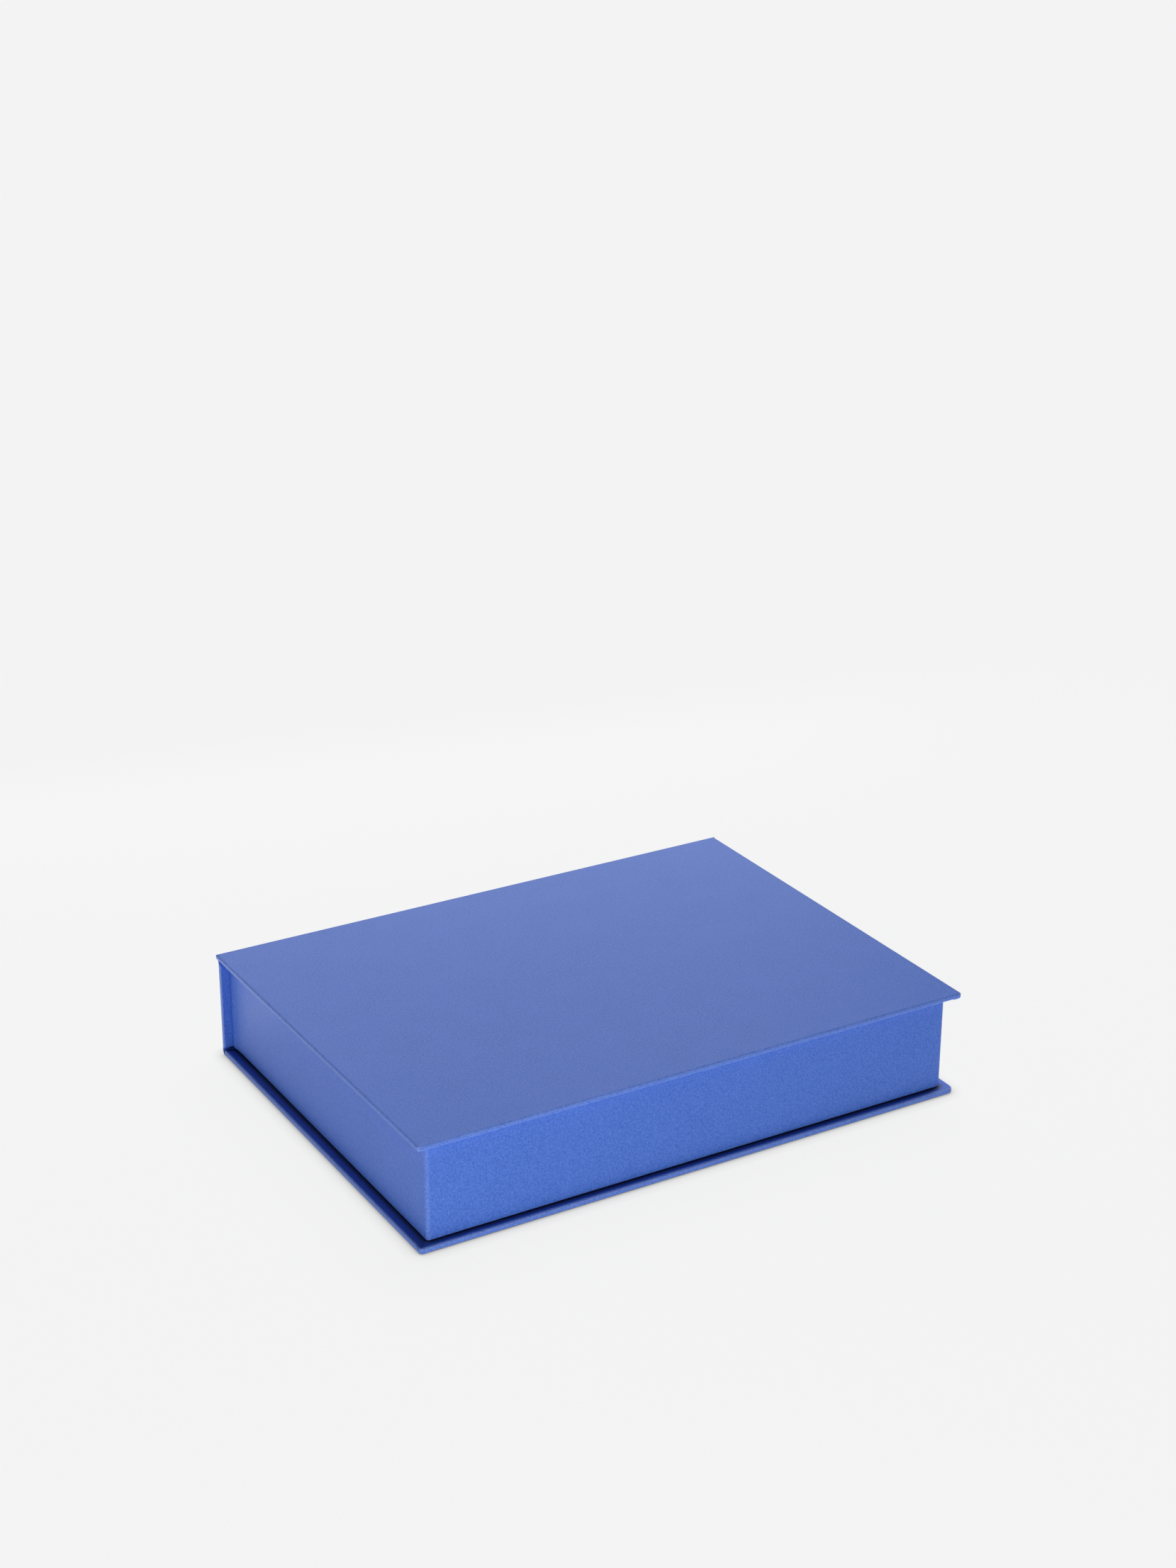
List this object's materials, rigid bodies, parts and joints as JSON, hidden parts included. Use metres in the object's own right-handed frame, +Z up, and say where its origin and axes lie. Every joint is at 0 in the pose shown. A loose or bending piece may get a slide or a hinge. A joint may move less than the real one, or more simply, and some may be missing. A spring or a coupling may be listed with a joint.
{
  "type": "archival box",
  "caption": "Low rectangular drop-spine archival box: a cloth-covered hinged case with nested trays that open out flat, for keeping papers flat and dust-free.",
  "frame": {"origin": "centre of the closed box's underside, where it rests on the shelf", "axes": "+X along the long fore-edge, +Y from the fore-edge to the spine, +Z up through the closed lid"},
  "size_m": [0.33, 0.246, 0.0615],
  "materials": {
    "book_cloth": "fine blue bookcloth, matt with a faint sheen",
    "greyboard": "raw grey-brown greyboard",
    "lining_paper": "off-white uncoated lining paper"
  },
  "bodies": {
    "base": {"base_board": "greyboard", "base_cloth": "book_cloth", "base_tray_panel": "greyboard", "base_tray_front_wall": "greyboard", "base_tray_left_wall": "greyboard", "base_tray_right_wall": "greyboard", "base_tray_wall_cloth": "book_cloth", "base_tray_lining": "lining_paper", "base_joint_lining": "book_cloth"},
    "spine": {"spine_board": "greyboard", "spine_cloth": "book_cloth", "spine_lining": "book_cloth"},
    "lid": {"lid_board": "greyboard", "lid_cloth": "book_cloth", "lid_tray_panel": "greyboard", "lid_tray_front_wall": "greyboard", "lid_tray_left_wall": "greyboard", "lid_tray_right_wall": "greyboard", "lid_tray_wall_cloth": "book_cloth", "lid_tray_lining": "lining_paper", "lid_joint_lining": "book_cloth"}
  },
  "joints": [
    {"name": "spine_fold", "type": "hinge", "parent": "base", "child": "spine", "pos_m": [0, 0.12116, 0.00064], "axis": [-1, 0, 0], "range_deg": [0, 90]},
    {"name": "lid_fold", "type": "hinge", "parent": "spine", "child": "lid", "pos_m": [0, 0.1223, 0.062], "axis": [-1, 0, 0], "range_deg": [0, 90]}
  ],
  "couplings": [
    {"joint": "spine_fold", "follows": "lid_fold", "ratio": 1}
  ]
}
